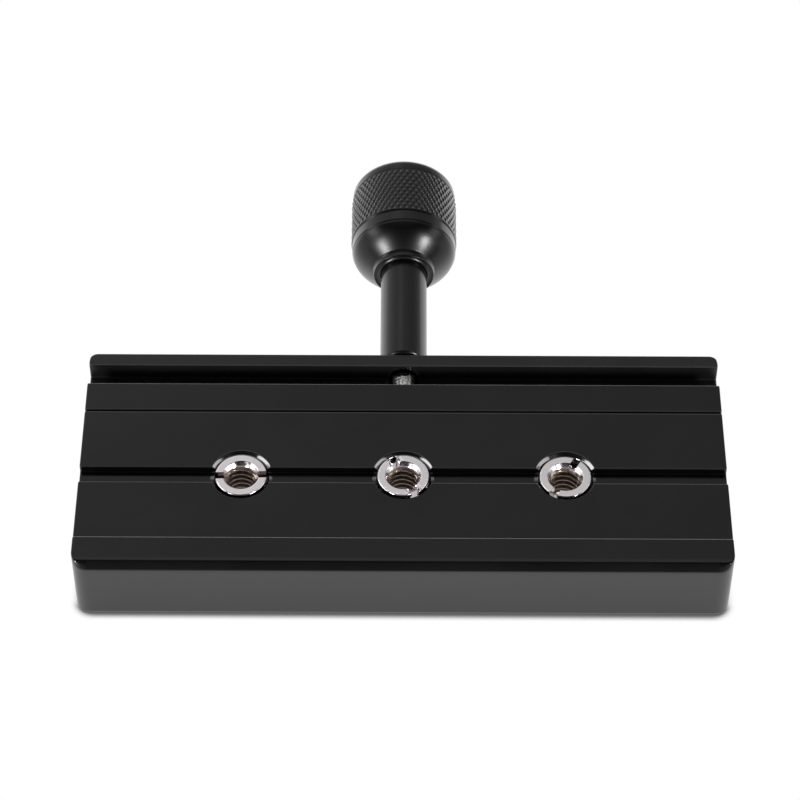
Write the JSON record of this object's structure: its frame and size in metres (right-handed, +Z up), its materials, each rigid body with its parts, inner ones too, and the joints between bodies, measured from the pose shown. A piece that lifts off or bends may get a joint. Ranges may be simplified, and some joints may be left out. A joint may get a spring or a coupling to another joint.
{
  "type": "dovetail quick release clamp",
  "caption": "Long black dovetail clamp with a sliding jaw on a knurled knob screw and slotted threaded bushings in its mounting face.",
  "frame": {"origin": "under the middle of the whole footprint, on the surface the clamp lies on, jaw side down", "axes": "+X along the clamp, +Y from the fixed jaw towards the knob, +Z up out of the mounting face"},
  "size_m": [0.12, 0.098, 0.0212],
  "materials": {
    "black_anodised": "satin black anodised",
    "nickel": "bright nickel plate over steel",
    "steel": "bare steel",
    "spring_steel": "bare spring wire"
  },
  "bodies": {
    "clamp_body": {"clamp_body": "black_anodised", "bushing_left": "nickel", "bushing_middle": "nickel", "bushing_right": "nickel", "return_spring_left": "spring_steel", "return_spring_right": "spring_steel"},
    "jaw": {"movable_jaw": "black_anodised", "guide_pin_left": "steel", "guide_pin_right": "steel"},
    "knob": {"knob_head": "black_anodised", "knob_shaft": "black_anodised", "clamp_screw": "steel"}
  },
  "joints": [
    {"name": "jaw_slide", "type": "slide", "parent": "clamp_body", "child": "jaw", "axis": [0, 1, 0], "range_m": [-0.0024, 0.0064], "deforming": ["return_spring_left", "return_spring_right"]},
    {"name": "knob_turn", "type": "hinge", "parent": "jaw", "child": "knob", "pos_m": [0, 0.00225, 0.01065], "axis": [0, 1, 0], "range_deg": [-1082, 2882]}
  ],
  "couplings": [
    {"joint": "knob_turn", "follows": "jaw_slide", "rad_per_m": 7854}
  ]
}
